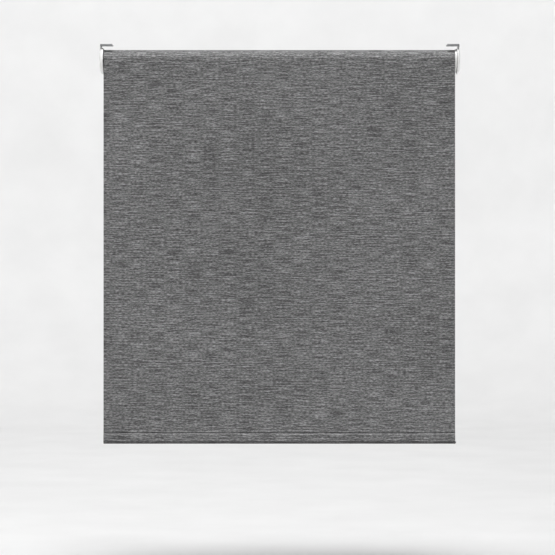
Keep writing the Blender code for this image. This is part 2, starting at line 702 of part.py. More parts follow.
def add_head_controls(materials, frame, button_slide):
    """The board with the charge socket, the button and its switch, and the lamp's lens."""
    at = (0, 0, -AXIS_DROP)
    board = prism([sector(13.2, 20.2, DOWN, math.radians(46))], HEAD_MIDDLE - 0.4, HEAD_MIDDLE + 0.4)
    add_piece("head_board", board, materials["board"], frame, at)

    mouth = -(HEAD_RADIUS - GAP)
    shell = prism([rounded_slot(2.85, 1.6, (0, 0))], mouth, mouth + 7.4, "Z")
    socket = add_piece("charge_socket", across_head(shell), materials["steel"], frame, at)
    opening = [rounded_slot(2.85, 1.3, (0, 0)), rectangle(-3.3, -0.35, 3.3, 0.35)]
    hollow = prism(opening, mouth - 1, mouth + 6.6, "Z")
    shape_with(socket, "DIFFERENCE", across_head(hollow))

    angle = DOWN + CONTROL_SPREAD
    inner_rim = HEAD_RADIUS - HEAD_RIM
    stem_top = HEAD_RADIUS + BUTTON_PROUD
    wing = rectangle(-1.4, -3.0, 1.4, 3.0)
    flat = prism([wing], inner_rim - 1.4, inner_rim - GAP, "Y")
    flat = shifted(radial(flat, angle), x=HEAD_MIDDLE)
    button = add_piece("program_button", flat, materials["grey"], button_slide, at)
    stem = rod(inner_rim - 0.8, stem_top, BUTTON_RADIUS, PIN_SIDES, "Y")
    shape_with(button, "UNION", shifted(radial(stem, angle), x=HEAD_MIDDLE))
    body = prism([rectangle(-1.5, -2.5, 1.5, 2.5)], 20.9, 24.2, "Y")
    body = shifted(radial(body, angle), x=HEAD_MIDDLE)
    add_piece("button_switch", body, materials["black"], frame, at)
    lens = rod(inner_rim - 1.5, HEAD_RADIUS + 0.1, LENS_RADIUS, PIN_SIDES, "Y")
    lens = shifted(radial(lens, DOWN - CONTROL_SPREAD), x=HEAD_MIDDLE)
    add_piece("status_lens", lens, materials["lens"], frame, at)


# Motor: housing, power, electronics, motor and brake


def add_housing(materials, frame):
    shape = tube(HOUSING_LEFT, HOUSING_RIGHT, HOUSING_RADIUS, HOUSING_RADIUS - HOUSING_WALL)
    add_piece("motor_housing", shape, materials["aluminium"], frame, (0, 0, -AXIS_DROP))


def add_power(materials, frame):
    """Cells end to end in a tray, and the control board on the tray's flanges."""
    at = (0, 0, -AXIS_DROP)
    bed, skin, flange = CELL_RADIUS + 0.4, 1.6, 1.6
    reach = math.sqrt(INSIDE_RADIUS**2 - flange**2)
    inner = arc(bed, math.pi, FULL_TURN, 12)
    outer = arc(bed + skin, FULL_TURN - 0.15, math.pi + 0.15, 12)
    outline = [(-reach, 0.0)] + inner + [(reach, 0.0), (reach, -flange)] + outer + [(-reach, -flange)]
    add_piece("battery_tray", prism([outline], TRAY_LEFT, TRAY_RIGHT), materials["black"], frame, at)
    first = TRAY_LEFT + 66.0
    for number in range(CELL_COUNT):
        start = first + number * (CELL_LENGTH + 1.2)
        end = start + CELL_LENGTH
        cell = [(start, 0), (start, CELL_RADIUS - 0.6), (start + 0.6, CELL_RADIUS)]
        cell += [(end - 1.6, CELL_RADIUS), (end - 1.0, CELL_RADIUS - 0.6), (end - 1.0, 3.0)]
        cell += [(end, 3.0), (end, 0)]
        name = f"battery_cell_{number + 1}"
        add_piece(name, turned(cell, COARSE), materials["cell"], frame, at)
    base = prism([rectangle(-15.0, GAP, 15.0, GAP + 1.6)], TRAY_LEFT + 3, TRAY_LEFT + 60)
    board = add_piece("control_board", base, materials["board"], frame, at)
    chips = []
    for x, y, length, width, height in ((10, -5, 9, 9, 1.6), (26, 4, 12, 7, 2.0), (44, -3, 7, 12, 4.5)):
        outline = rectangle(y - width / 2, GAP + 1.2, y + width / 2, GAP + 1.6 + height)
        chips.append(prism([outline], TRAY_LEFT + 3 + x - length / 2, TRAY_LEFT + 3 + x + length / 2))
    shape_with(board, "UNION", joined(chips))


def end_plate_profile(left, right):
    """A plate that closes the motor, with a bearing seat open on the side called right."""
    toward = 1 if right > left else -1
    shoulder = left + toward * 0.8
    hole = SHAFT_RADIUS + 0.6
    profile = [(left, hole), (left, INSIDE_RADIUS), (right, INSIDE_RADIUS), (right, SEAT_RADIUS)]
    return profile + [(shoulder, SEAT_RADIUS), (shoulder, hole)]


def add_motor(materials, frame, rotor):
    at = (0, 0, -AXIS_DROP)
    front_right = FRONT_PLATE_LEFT + END_PLATE
    rear_right = REAR_PLATE_LEFT + END_PLATE
    front = turned(end_plate_profile(FRONT_PLATE_LEFT, front_right))
    add_piece("motor_front_plate", front, materials["steel"], frame, at)
    rear = turned(end_plate_profile(rear_right, REAR_PLATE_LEFT))
    add_piece("motor_rear_plate", rear, materials["steel"], frame, at)
    add_piece("motor_can", tube(CAN_LEFT, CAN_RIGHT, INSIDE_RADIUS, 16.4), materials["steel"], frame, at)
    bearing = {"front": FRONT_PLATE_LEFT + 1.1, "rear": REAR_PLATE_LEFT}
    for end, left in bearing.items():
        ring = tube(left, left + 2.4, BEARING_RADIUS, SHAFT_RADIUS + GAP, COARSE)
        add_piece(f"motor_bearing_{end}", ring, materials["steel"], frame, at)
    stator_loops = [circle(16.0, MEDIUM), poles(6, math.radians(11), 9.2, 13.6)]
    stator = prism(stator_loops, CAN_LEFT + 3, CAN_RIGHT - 3)
    add_piece("wound_stator", stator, materials["copper"], frame, at)
    magnet = tube(CAN_LEFT + 4, CAN_RIGHT - 4, 8.7, SHAFT_RADIUS + GAP, COARSE)
    add_piece("rotor_magnet", magnet, materials["magnet"], rotor, at)
    pinion_end = FIRST_PLANET_LEFT + PLANET_WIDTH
    brake_end = BRAKE_LEFT + 12.0
    shaft = [(FIRST_PLANET_LEFT, 0), (FIRST_PLANET_LEFT, PINION_RADIUS), (pinion_end + 0.6, PINION_RADIUS)]
    shaft += [(pinion_end + 0.6, SHAFT_RADIUS), (brake_end, SHAFT_RADIUS), (brake_end, 0)]
    add_piece("motor_shaft", turned(shaft, COARSE), materials["steel"], rotor, at)


def add_brake(materials, frame, rotor):
    """A magnetic brake: poles on the shaft drag against a fixed magnet ring and hold the blind."""
    at = (0, 0, -AXIS_DROP)
    left, right, wall = BRAKE_LEFT, BRAKE_LEFT + BRAKE_LENGTH, 1.4
    cup = [(left, INSIDE_RADIUS - wall), (left, INSIDE_RADIUS), (right, INSIDE_RADIUS), (right, 0)]
    cup += [(right - wall, 0), (right - wall, INSIDE_RADIUS - wall)]
    add_piece("brake_shell", turned(cup), materials["steel"], frame, at)
    ring = tube(left + 3, left + 11, INSIDE_RADIUS - wall - GAP, 12.6)
    add_piece("brake_magnet_ring", ring, materials["magnet"], frame, at)
    rotor_loops = [poles(8, math.radians(9), 12.2, 9.6, 3), circle(SHAFT_RADIUS + GAP, COARSE)]
    add_piece("brake_rotor", prism(rotor_loops, left + 4, left + 10), materials["steel"], rotor, at)


# Gearbox


def planet_angles():
    return [FULL_TURN * i / PLANETS_PER_STAGE for i in range(PLANETS_PER_STAGE)]


def planet_places():
    return [(PLANET_ORBIT * math.cos(a), PLANET_ORBIT * math.sin(a)) for a in planet_angles()]


def carrier_pins(plate_right):
    """Three pins that start inside the carrier's plate and reach through the planets."""
    end = plate_right + PLANET_WIDTH + 0.9
    return [
        rod(plate_right - 1, end, PLANET_PIN_RADIUS, PIN_SIDES, centre=place)
        for place in planet_places()
    ]


def add_planets(stage, left, material, parent):
    for letter, angle, (y, z) in zip("abc", planet_angles(), planet_places()):
        loops = [gear_outline(PLANET_TEETH), circle(PLANET_BORE_RADIUS, PIN_SIDES)]
        shape = prism(loops, left, left + PLANET_WIDTH)
        name = f"{stage}_planet_{letter}"
        axle = add_axis(name + "_axle", (0, y, z - AXIS_DROP), parent)
        add_piece(name, shape, material, axle, (0, y, z - AXIS_DROP), angle)


def add_gearbox(materials, frame, rotor, first_stage, roller):
    at = (0, 0, -AXIS_DROP)
    ring = prism([circle(INSIDE_RADIUS, FINE), ring_outline()], RING_LEFT, RING_RIGHT)
    add_piece("ring_gear", ring, materials["steel"], frame, at)
    loops = [gear_outline(SUN_TEETH), circle(PINION_RADIUS + GAP, PIN_SIDES)]
    pinion = prism(loops, FIRST_PLANET_LEFT, FIRST_PLANET_LEFT + PLANET_WIDTH)
    add_piece("sun_pinion", pinion, materials["brass"], rotor, at)

    plate_right = FIRST_CARRIER_LEFT + CARRIER_PLATE
    carrier = rod(FIRST_CARRIER_LEFT, plate_right, CARRIER_RADIUS, MEDIUM)
    item = add_piece("first_carrier", carrier, materials["nylon"], first_stage, at)
    sun = prism([gear_outline(SUN_TEETH)], SECOND_PLANET_LEFT, FIRST_CARRIER_LEFT + 1)
    shape_with(item, "UNION", joined(carrier_pins(plate_right) + [sun]))

    plate_right = OUTPUT_CARRIER_LEFT + CARRIER_PLATE
    carrier = rod(OUTPUT_CARRIER_LEFT, plate_right, CARRIER_RADIUS, MEDIUM)
    item = add_piece("output_carrier", carrier, materials["steel"], roller, at)
    shape_with(item, "UNION", joined(carrier_pins(plate_right) + [output_shaft()]))
    hex_end = prism([hexagon(HEX_FLATS)], WHEEL_LEFT - 0.5, WHEEL_LEFT + WHEEL_WIDTH + 2)
    shape_with(item, "UNION", hex_end)
    add_planets("first", FIRST_PLANET_LEFT, materials["nylon"], first_stage)
    add_planets("second", SECOND_PLANET_LEFT, materials["steel"], roller)
    add_gearbox_cover(materials, frame)


def output_shaft():
    """From inside the carrier's plate to the clip's groove, as one turned shaft."""
    groove = (WHEEL_LEFT - 2.1, WHEEL_LEFT - 0.5)
    neck = WHEEL_LEFT + WHEEL_WIDTH + 1
    slim = HEX_FLATS / 2 - 0.2
    profile = [(OUTPUT_CARRIER_LEFT + 1, 0), (OUTPUT_CARRIER_LEFT + 1, OUTPUT_RADIUS), (neck, OUTPUT_RADIUS)]
    profile += [(neck, slim), (groove[1], slim), (groove[1], CLIP_GROOVE_RADIUS)]
    profile += [(groove[0], CLIP_GROOVE_RADIUS), (groove[0], slim), (SHAFT_END, slim), (SHAFT_END, 0)]
    return turned(profile, COARSE)


def add_gearbox_cover(materials, frame):
    at = (0, 0, -AXIS_DROP)
    right = RING_LEFT - GAP
    flange = HOUSING_LEFT - GAP
    left = flange - 5.3
    seat = 8.3
    hole = OUTPUT_RADIUS + 0.4
    profile = [(left, hole), (left, HOUSING_RADIUS - 0.5), (left + 0.5, HOUSING_RADIUS)]
    profile += [(flange, HOUSING_RADIUS), (flange, INSIDE_RADIUS), (right, INSIDE_RADIUS), (right, seat)]
    profile += [(left + 2, seat), (left + 2, hole)]
    add_piece("gearbox_cover", turned(profile), materials["grey"], frame, at)
    bearing = tube(left + 2.4, right - 1, seat - GAP, OUTPUT_RADIUS + GAP, COARSE)
    add_piece("output_bearing", bearing, materials["brass"], frame, at)


# Hanging cloth and bottom rail


def add_hanging_cloth(material, frame):
    outline = rectangle(CLOTH_BACK - CLOTH_THICKNESS, RAIL_TOP + GAP, CLOTH_BACK, -AXIS_DROP)
    add_piece("fabric_drop", prism([outline], CLOTH_LEFT, CLOTH_RIGHT), material, frame, (0, 0, 0))


def foot_outline(inset):
    """The lowest part of the rail's section, with a flat top."""
    centre = (CLOTH_MIDDLE, RAIL_BOTTOM + RAIL_RADIUS)
    half = RAIL_RADIUS - inset - 0.2
    top = RAIL_BOTTOM + RAIL_FOOT_HEIGHT
    bottom = arc(RAIL_RADIUS - inset, math.pi, FULL_TURN, 12, centre)
    return bottom + [(CLOTH_MIDDLE + half, top), (CLOTH_MIDDLE - half, top)]


def add_bottom_rail(materials, rail):
    pocket = [rail_outline(0.0), rail_outline(CLOTH_THICKNESS)]
    shape = prism(pocket, CLOTH_LEFT, CLOTH_RIGHT)
    add_piece("hem_pocket", shape, materials["cloth"], rail, (0, 0, 0))
    inset = CLOTH_THICKNESS + GAP
    centre = (CLOTH_MIDDLE, RAIL_BOTTOM + RAIL_RADIUS)
    bore = circle(RAIL_BORE_RADIUS, PIN_SIDES, centre)
    bar = prism([rail_outline(inset), bore], BAR_LEFT, BAR_RIGHT)
    add_piece("bottom_bar", bar, materials["aluminium"], rail, (0, 0, 0))
    for name, end, outward in (("left", BAR_LEFT, -1), ("right", BAR_RIGHT, 1)):
        near = end + outward * GAP
        slab = prism([rail_outline(inset)], *sorted((near, near + outward * RAIL_CAP)))
        cap = add_piece(f"bar_end_cap_{name}", slab, materials["grey"], rail, (0, 0, 0))
        reach = sorted((near + outward * RAIL_CAP / 2, end - outward * RAIL_PLUG_LENGTH))
        shape_with(cap, "UNION", rod(*reach, RAIL_BORE_RADIUS - GAP, PIN_SIDES, centre=centre))
        if name == "right":
            foot = prism([foot_outline(inset)], near + RAIL_CAP / 2, CLOTH_RIGHT + RAIL_FOOT_PROUD)
            shape_with(cap, "UNION", foot)


def build():
    clear_scene()
    materials = make_materials()
    on_roll_axis = (0, 0, -AXIS_DROP)
    frame = add_axis("frame", (0, 0, 0))
    roller = add_axis("roller", on_roll_axis, frame)
    first_stage = add_axis("first_stage", on_roll_axis, frame)
    rotor = add_axis("rotor", on_roll_axis, frame)
    pin_slide = add_axis("pin_slide", on_roll_axis, roller)
    button_slide = add_axis("button_slide", on_roll_axis, frame)
    rail = add_axis("rail", (0, 0, 0), frame)

    add_bracket("bracket_left", -1, 6.3, materials["steel"], frame)
    add_bracket("bracket_right", 1, 10.8, materials["steel"], frame)
    add_cover("bracket_cover_left", -1, LEFT_COVER_DEPTH, materials["white"], frame)
    add_cover("bracket_cover_right", 1, RIGHT_COVER_DEPTH, materials["white"], frame)
    add_pin_bush(materials["nylon"], frame)
    add_head_socket(materials["nylon"], frame)

    add_tube(materials, roller)
    add_idle_end(materials, roller, pin_slide)
    add_crown(materials["nylon"], roller)
    add_drive_wheel(materials, roller)

    add_motor_head(materials, frame)
    add_head_controls(materials, frame, button_slide)
    add_housing(materials, frame)
    add_power(materials, frame)
    add_motor(materials, frame, rotor)
    add_brake(materials, frame, rotor)
    add_gearbox(materials, frame, rotor, first_stage, roller)

    add_hanging_cloth(materials["cloth"], frame)
    add_bottom_rail(materials, rail)


build()
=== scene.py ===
"""Looks, light and camera for the roller blind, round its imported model.

The cloth is made here as thin sheets: what is wound on the tube, what hangs, and the hem round the
bottom bar. Every other piece keeps its own solid and gets a material with grain and relief. Lengths
are in metres. On the roll and the hem the weave is laid by the sheet's UV map, across the cloth and
along it. On the hanging cloth it is laid by x and height, and so keeps its size as the cloth shortens.
"""

import json
import math

import bpy
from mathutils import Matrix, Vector, noise


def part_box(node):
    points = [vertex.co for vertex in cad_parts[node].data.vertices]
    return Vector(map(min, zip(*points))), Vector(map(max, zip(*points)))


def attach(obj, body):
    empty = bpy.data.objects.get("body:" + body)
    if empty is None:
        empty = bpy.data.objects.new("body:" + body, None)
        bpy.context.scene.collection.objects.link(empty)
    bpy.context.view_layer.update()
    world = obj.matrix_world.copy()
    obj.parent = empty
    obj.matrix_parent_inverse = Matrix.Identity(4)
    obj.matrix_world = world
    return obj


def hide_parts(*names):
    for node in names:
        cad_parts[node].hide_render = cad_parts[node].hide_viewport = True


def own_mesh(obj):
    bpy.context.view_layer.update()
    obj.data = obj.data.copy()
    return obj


MM = 0.001
FULL_TURN = 2 * math.pi

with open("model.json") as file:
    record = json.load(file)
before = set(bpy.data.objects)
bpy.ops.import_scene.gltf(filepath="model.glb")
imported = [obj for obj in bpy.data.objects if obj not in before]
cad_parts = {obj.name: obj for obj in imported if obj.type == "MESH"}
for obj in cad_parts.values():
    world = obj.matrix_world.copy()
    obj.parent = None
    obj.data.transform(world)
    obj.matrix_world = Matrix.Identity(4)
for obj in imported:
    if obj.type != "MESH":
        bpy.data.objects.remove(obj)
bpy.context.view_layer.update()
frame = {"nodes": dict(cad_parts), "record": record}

# Places read from the frame
ROLL_LOW, ROLL_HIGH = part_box("fabric_roll")
DROP_LOW, DROP_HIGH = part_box("fabric_drop")
HEM_LOW, HEM_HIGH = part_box("hem_pocket")
SPRING_LOW, SPRING_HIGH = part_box("idle_spring")
CLOTH_LEFT, CLOTH_RIGHT = ROLL_LOW.x, ROLL_HIGH.x
CLOTH_WIDTH = CLOTH_RIGHT - CLOTH_LEFT
AXIS_HEIGHT = (ROLL_LOW.z + ROLL_HIGH.z) / 2
ROLL_RADIUS = (ROLL_HIGH.z - ROLL_LOW.z) / 2
HEM_TOP, HEM_BOTTOM = HEM_HIGH.z, HEM_LOW.z
HEM_MIDDLE = (HEM_LOW.y + HEM_HIGH.y) / 2

# Shape of the cloth
CLOTH_THICKNESS = 0.42 * MM
WRAP_PITCH = 0.48 * MM  # from one turn on the roll to the next
WRAPS = 2.4
WRAP_STEPS = 72  # in each turn of the spiral
WOUND_COLUMNS = 24
DROP_ROWS = 90
DROP_COLUMNS = 80
HEM_COLUMNS = 48
ROLL_CLEARANCE = 0.03 * MM  # the hanging cloth starts this far in front of the roll
HANG_WAVE = 0.7 * MM  # the most that the hanging cloth waves off its plane
WAVE_SCALE = (5.0, 4.0)  # of the waves across and down, per metre
WAVE_SLICE = 0.4  # the plane of the noise that the waves are read from
EDGE_CURL = 0.2 * MM
EDGE_REACH = 14 * MM

# Shape of the hem, whose weld shows as a crease a little above the bar
WELD_RISE = 1.8 * MM
WELD_REACH = 0.8 * MM  # of the cloth darkened as painted shade, above and below the crease
CREASE = HEM_TOP + WELD_RISE
SEAM_RISE = 5.5 * MM  # the hem piece starts this far above the crease
SEAM_GAP = 0.05 * MM  # between the hanging cloth and the hem piece
HEM_START = CREASE + SEAM_RISE
SEAM_RIDGE = 0.6 * MM  # how far the cloth swells just above the crease
# Share of that ridge, and height above the crease in millimetres
SEAM_PROFILE = [(1.0, 2.0), (0.9, 1.1), (0.1, 0.35), (-0.2, 0.0)]
# Distances out from the middle of the hem and down from its top, in millimetres
HEM_FRONT = [(0.0, -1.0), (0.1, 0.2), (0.6, 0.7), (1.3, 1.2), (2.2, 2.1), (2.7, 3.1), (3.05, 4.2)]
HEM_FRONT += [(3.1, 6.0), (3.1, 12.0), (3.3, 14.2), (2.95, 15.1), (3.5, 15.9), (3.9, 17.4)]
HEM_FRONT += [(4.0, 18.8), (3.88, 20.2), (3.7, 21.4)]
HEM_BACK = [(3.6, 18.5), (3.2, 11.0), (2.9, 6.0), (2.4, 3.2), (1.6, 1.3), (0.9, 0.5)]
HEM_FOOT_RADIUS = 3.62 * MM
HEM_FOOT_STEPS = 16
DARKENED_FOOT = 6.4 * MM  # height of the darker cloth round the foot

# Look of the cloth: the size of each kind of mark, across the cloth and along it
SLUB_SIZE = (45 * MM, 2.6 * MM)
YARN_SIZE = (7.5 * MM, 2.4 * MM)
CLOUD_SIZE = (300 * MM, 200 * MM)
THREAD_SIZE = (4 * MM, 0.5 * MM)
CELL_SIZE = (1.1 * MM, 0.9 * MM)
SLUB_SHARE = 0.46
YARN_SHARE = 0.46
THREAD_TONE = 0.13
CELL_TONE = 0.025
THREAD_RELIEF = 0.25 * MM
CELL_RELIEF = 0.05 * MM
CLOTH_ROUGHNESS = 0.64
CLOTH_BASE = 0.15
CLOTH_TONES = [(0.34, 0.024), (0.45, 0.082), (0.55, 0.19), (0.66, 0.38)]  # noise, and the grey it gives
CLOTH_LEVEL = 0.94
DARKENED_LEVEL = 0.45  # of the darker cloth: painted shade along the weld crease, and darker cloth round the foot of the hem

# Edges of the solids, eased as pressing and moulding leave them
EASED_EDGES = {"white_gloss_plastic": 0.35 * MM, "zinc_plated_steel": 0.2 * MM, "grey_plastic": 0.15 * MM}
EASED_EDGE = 0.08 * MM  # on every other material
EASED_ANGLE = math.radians(35)
EASED_SEGMENTS = 2
WELD_DISTANCE = 0.002 * MM  # vertices closer than this are joined

# Spring behind the idle pin
SPRING_TURNS = 5.5
SPRING_WIRE = 0.5 * MM
SPRING_SIDES = 10
SPRING_STEPS = 32  # in each turn

# Camera, square on to the cloth
CAMERA_DISTANCE = 4.75
CAMERA_ACROSS = -0.0056
CAMERA_HEIGHT = -0.5803
VIEW_WIDTH = 1.376
SENSOR = 36.0
CLIP_END = 50.0

# Floor
FLOOR_HEIGHT = -1.32
FLOOR_RADIUS = 4.9
FLOOR_LIP = 0.3  # of flat floor between its inner ring and the sweep
SWEEP_RADIUS = 1.5
SWEEP_STEPS = 24
WALL_TOP = 2.0
SPOKES = 96
PAPER_GREY = 0.8
PAPER_GREYS = (0.78, 0.82)

# Light
BLIND_MIDDLE = (0, 0, -0.5)
# Each light's place, the point that it faces, its size in metres and its power in watts
LIGHTS = {
    "overhead_softbox": ((-0.8, -1.7, 6.7), BLIND_MIDDLE, (5.0, 2.8), 720),
    "front_softbox": ((-0.6, -5.5, 0.6), BLIND_MIDDLE, (4.0, 3.0), 6),
    "backdrop_light": ((0, 3.0, 2.8), (0, 6.4, 0.0), (7.0, 0.8), 46),
}
WORLD_STRENGTH = 0.06


# Shader nodes


def start_material(name, colour, roughness, metallic=0.0, **constants):
    """A Principled BSDF; constants are further sockets, with _ for each space in their names."""
    material = bpy.data.materials.new(name)
    material.use_nodes = True
    shader = material.node_tree.nodes["Principled BSDF"]
    shader.inputs["Base Color"].default_value = (*colour, 1.0)
    shader.inputs["Roughness"].default_value = roughness
    shader.inputs["Metallic"].default_value = metallic
    for socket, value in constants.items():
        shader.inputs[socket.replace("_", " ")].default_value = value
    return material


def add_node(material, kind, inputs=None, **settings):
    """A node with its settings, and a value or a link for each input named."""
    node = material.node_tree.nodes.new(kind)
    for key, value in settings.items():
        setattr(node, key, value)
    for key, value in (inputs or {}).items():
        set_input(material, node.inputs[key], value)
    return node


def set_input(material, socket, value):
    """Links another node's output to the socket, or sets the socket's own value."""
    if isinstance(value, bpy.types.NodeSocket):
        material.node_tree.links.new(value, socket)
    else:
        socket.default_value = value


def set_shader(material, socket, value):
    """The same, for a socket of the material's shader by its name."""
    set_input(material, material.node_tree.nodes["Principled BSDF"].inputs[socket], value)


def coordinates(material, source, scale, offset=(0.0, 0.0, 0.0)):
    """Object or UV coordinates, scaled: 1 / 0.02 along an axis makes grain 20 mm long.

    The source "Upright" gives x and height, so a weave laid by it keeps its size as the sheet shortens.
    """
    places = add_node(material, "ShaderNodeTexCoord").outputs
    if source == "Upright":
        apart = add_node(material, "ShaderNodeSeparateXYZ", {"Vector": places["Object"]}).outputs
        joined = add_node(material, "ShaderNodeCombineXYZ", {"X": apart["X"], "Y": apart["Z"]})
        place = joined.outputs["Vector"]
    else:
        place = places[source]
    mapping = add_node(material, "ShaderNodeMapping", {"Vector": place, "Scale": scale, "Location": offset})
    return mapping.outputs["Vector"]


def grain(material, scale, detail=2.0, roughness=0.5, source="Object", offset=(0.0, 0.0, 0.0)):
    """Cloudy noise from 0 to 1, stretched by its scale."""
    where = coordinates(material, source, scale, offset)
    values = {"Vector": where, "Scale": 1.0, "Detail": detail, "Roughness": roughness}
    return add_node(material, "ShaderNodeTexNoise", values).outputs["Fac"]


def arithmetic(material, operation, a, b):
    """One step of arithmetic on two values or outputs."""
    node = add_node(material, "ShaderNodeMath", operation=operation)
    set_input(material, node.inputs[0], a)
    set_input(material, node.inputs[1], b)
    return node.outputs["Value"]


def spread(material, value, low, high, to_low, to_high):
    """The value, with low to high spread over to_low to to_high."""
    names = {"From Min": low, "From Max": high, "To Min": to_low, "To Max": to_high}
    return add_node(material, "ShaderNodeMapRange", {"Value": value, **names}).outputs["Result"]


def ramp(material, factor, stops):
    """A colour ramp through (position, colour) stops."""
    node = add_node(material, "ShaderNodeValToRGB", {"Fac": factor})
    elements = node.color_ramp.elements
    for position, colour in stops[2:]:
        elements.new(position)
    for element, (position, colour) in zip(elements, stops):
        element.position = position
        element.color = (*colour, 1.0)
    return node.outputs["Color"]


def relief(material, height, distance, normal=None):
    """Raises the surface in the shading by up to the given distance, where height is 1."""
    inputs = {"Height": height, "Distance": distance}
    if normal:
        inputs["Normal"] = normal
    return add_node(material, "ShaderNodeBump", inputs).outputs["Normal"]


# Materials


def grey(level):
    """A grey with a trace of blue."""
    return (level, level, level * 1.01)


def marks(size):
    """The scale of a noise whose marks have this size across the cloth and along it."""
    across, along = size
    return (1 / across, 1 / along, 1)


def make_cloth_material(name, level, source="UV"):
    """A melange weave: short choppy yarns of many greys, one thread apart, over longer slubs.

    The offsets only move each noise, so that no two of them line up.
    """
    cloth = start_material(name, grey(CLOTH_BASE), CLOTH_ROUGHNESS, Sheen_Weight=0.05, Sheen_Roughness=0.5)
    slub = grain(cloth, marks(SLUB_SIZE), 1.0, 0.5, source, (2.3, 4.7, 0))
    yarn = grain(cloth, marks(YARN_SIZE), 1.0, 0.5, source, (7.3, 2.1, 0))
    cloud = grain(cloth, marks(CLOUD_SIZE), 2.0, 0.5, source, (1.7, 9.2, 0))
    tone = arithmetic(cloth, "MULTIPLY", slub, SLUB_SHARE)
    tone = arithmetic(cloth, "ADD", tone, arithmetic(cloth, "MULTIPLY", yarn, YARN_SHARE))
    cloud_share = 1.0 - SLUB_SHARE - YARN_SHARE
    tone = arithmetic(cloth, "ADD", tone, arithmetic(cloth, "MULTIPLY", cloud, cloud_share))
    threads = grain(cloth, marks(THREAD_SIZE), 2.0, 0.6, source, (3.9, 5.5, 0))
    weave = coordinates(cloth, source, marks(CELL_SIZE))
    cells = add_node(cloth, "ShaderNodeTexChecker", {"Vector": weave, "Scale": 1.0}).outputs["Fac"]
    tone = arithmetic(cloth, "ADD", tone, spread(cloth, threads, 0.2, 0.8, -THREAD_TONE, THREAD_TONE))
    tone = arithmetic(cloth, "ADD", tone, spread(cloth, cells, 0.0, 1.0, -CELL_TONE, CELL_TONE))
    stops = [(place, tuple(level * c for c in grey(shade))) for place, shade in CLOTH_TONES]
    set_shader(cloth, "Base Color", ramp(cloth, tone, stops))
    bumps = relief(cloth, cells, CELL_RELIEF)
    set_shader(cloth, "Normal", relief(cloth, threads, THREAD_RELIEF, bumps))
    return cloth


def make_gloss_plastic():
    """White moulded caps: a faint orange peel, a little handling dust and uneven gloss."""
    white, duller, brighter = (0.87, 0.87, 0.86), (0.83, 0.83, 0.82), (0.9, 0.9, 0.89)
    plastic = start_material("white_moulding", white, 0.25, Coat_Weight=0.25, Coat_Roughness=0.08)
    dust = grain(plastic, (60, 60, 45), 4.0, 0.6)
    set_shader(plastic, "Base Color", ramp(plastic, dust, [(0.35, duller), (0.6, brighter)]))
    set_shader(plastic, "Roughness", spread(plastic, dust, 0.3, 0.7, 0.34, 0.2))
    set_shader(plastic, "Normal", relief(plastic, grain(plastic, (380, 380, 380), 1.0), 0.05 * MM))
    return plastic


def make_zinc():
    """Pressed steel with a zinc finish: fine rolling lines and soft mottling."""
    middle, darker, lighter = (0.22, 0.225, 0.23), (0.18, 0.185, 0.19), (0.27, 0.275, 0.28)
    zinc = start_material("zinc_steel", middle, 0.5, 0.6)
    mottle = grain(zinc, (90, 90, 90), 3.0, 0.6)
    rolling = grain(zinc, (60, 2400, 900), 2.0)
    set_shader(zinc, "Base Color", ramp(zinc, mottle, [(0.3, darker), (0.7, lighter)]))
    set_shader(zinc, "Roughness", spread(zinc, mottle, 0.3, 0.7, 0.28, 0.44))
    set_shader(zinc, "Normal", relief(zinc, rolling, 0.02 * MM))
    return zinc


def make_metal(name, colour, roughness, lines):
    """Machined or extruded metal; lines is the scale of its fine lines along x, y and z."""
    metal = start_material(name, colour, roughness, 1.0)
    streaks = grain(metal, lines, 3.0, 0.65)
    darker = tuple(0.82 * c for c in colour)
    set_shader(metal, "Base Color", ramp(metal, streaks, [(0.3, darker), (0.7, colour)]))
    set_shader(metal, "Roughness", spread(metal, streaks, 0.3, 0.7, roughness * 0.8, roughness * 1.25))
    set_shader(metal, "Normal", relief(metal, streaks, 0.015 * MM))
    return metal


def make_plastic(name, colour, roughness, pebble=0.03):
    """Moulded plastic with the fine pebble of an eroded mould."""
    plastic = start_material(name, colour, roughness)
    cloud = grain(plastic, (70, 70, 70), 3.0)
    lighter = tuple(min(1.0, 1.25 * c + 0.004) for c in colour)
    set_shader(plastic, "Base Color", ramp(plastic, cloud, [(0.3, colour), (0.75, lighter)]))
    set_shader(plastic, "Roughness", spread(plastic, cloud, 0.3, 0.7, roughness * 0.88, roughness * 1.1))
    set_shader(plastic, "Normal", relief(plastic, grain(plastic, (1400, 1400, 1400), 2.0), pebble * MM))
    return plastic


def make_board():
    """Green solder mask over copper tracks, which run in steps across the board."""
    mask, track = (0.014, 0.12, 0.05), (0.04, 0.24, 0.11)
    step = 1 / (4 * MM)
    board = start_material("solder_mask", (0.02, 0.16, 0.07), 0.35, Coat_Weight=0.3)
    where = coordinates(board, "Object", (step, step, step))
    tracks = add_node(board, "ShaderNodeTexVoronoi", {"Vector": where, "Scale": 1.0}, distance="CHEBYCHEV")
    lines = spread(board, tracks.outputs["Distance"], 0.38, 0.46, 0.0, 1.0)
    set_shader(board, "Base Color", ramp(board, lines, [(0.0, mask), (1.0, track)]))
    set_shader(board, "Normal", relief(board, lines, 0.04 * MM))
    return board


def make_winding():
    """Enamelled wire laid side by side, with painted shade in the grooves between the wires."""
    # between is painted shade in the grooves between the wires
    between, wires = (0.36, 0.13, 0.06), (0.68, 0.29, 0.13)
    copper = start_material("enamelled_copper", (0.62, 0.25, 0.11), 0.35, 1.0)
    turns = coordinates(copper, "Object", (8, 1, 1))
    values = {"Vector": turns, "Scale": 60.0, "Distortion": 1.5, "Detail": 2.0}
    wire = add_node(copper, "ShaderNodeTexWave", values).outputs["Fac"]
    set_shader(copper, "Base Color", ramp(copper, wire, [(0.2, between), (0.8, wires)]))
    set_shader(copper, "Normal", relief(copper, wire, 0.2 * MM))
    return copper


